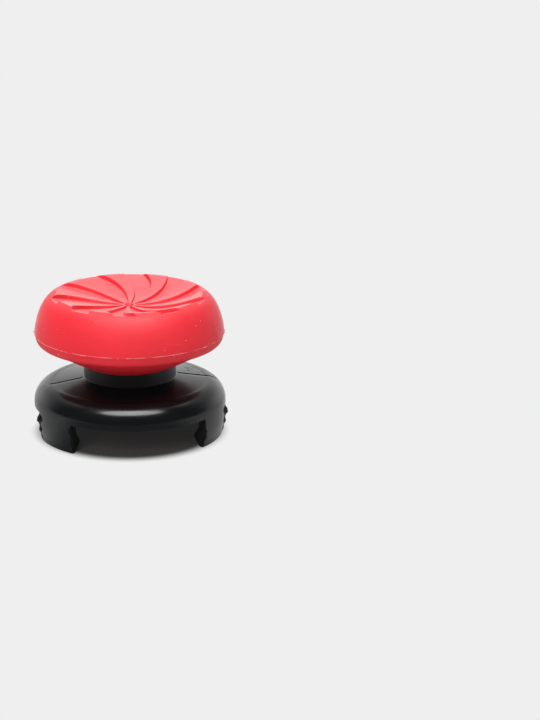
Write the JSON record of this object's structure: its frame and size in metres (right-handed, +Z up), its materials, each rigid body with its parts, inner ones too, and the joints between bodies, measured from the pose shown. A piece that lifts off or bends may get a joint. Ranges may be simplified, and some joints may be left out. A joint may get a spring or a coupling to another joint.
{
  "type": "controller thumb grip",
  "caption": "Raised thumb grip for a controller stick: a soft dished head with a swirl tread on a hard clip that pushes over the stick.",
  "frame": {"origin": "on the axis, level with the feet of the prongs", "axes": "+Z up along the axis from the clip to the head, -Y through the middle of the front gap between two prongs"},
  "size_m": [0.0214, 0.0214, 0.016],
  "materials": {
    "hard_plastic": "glossy black moulded plastic",
    "soft_rubber": "satin red moulded rubber"
  },
  "bodies": {
    "root": {"clip_base": "hard_plastic", "grip_head": "soft_rubber"}
  },
  "joints": []
}
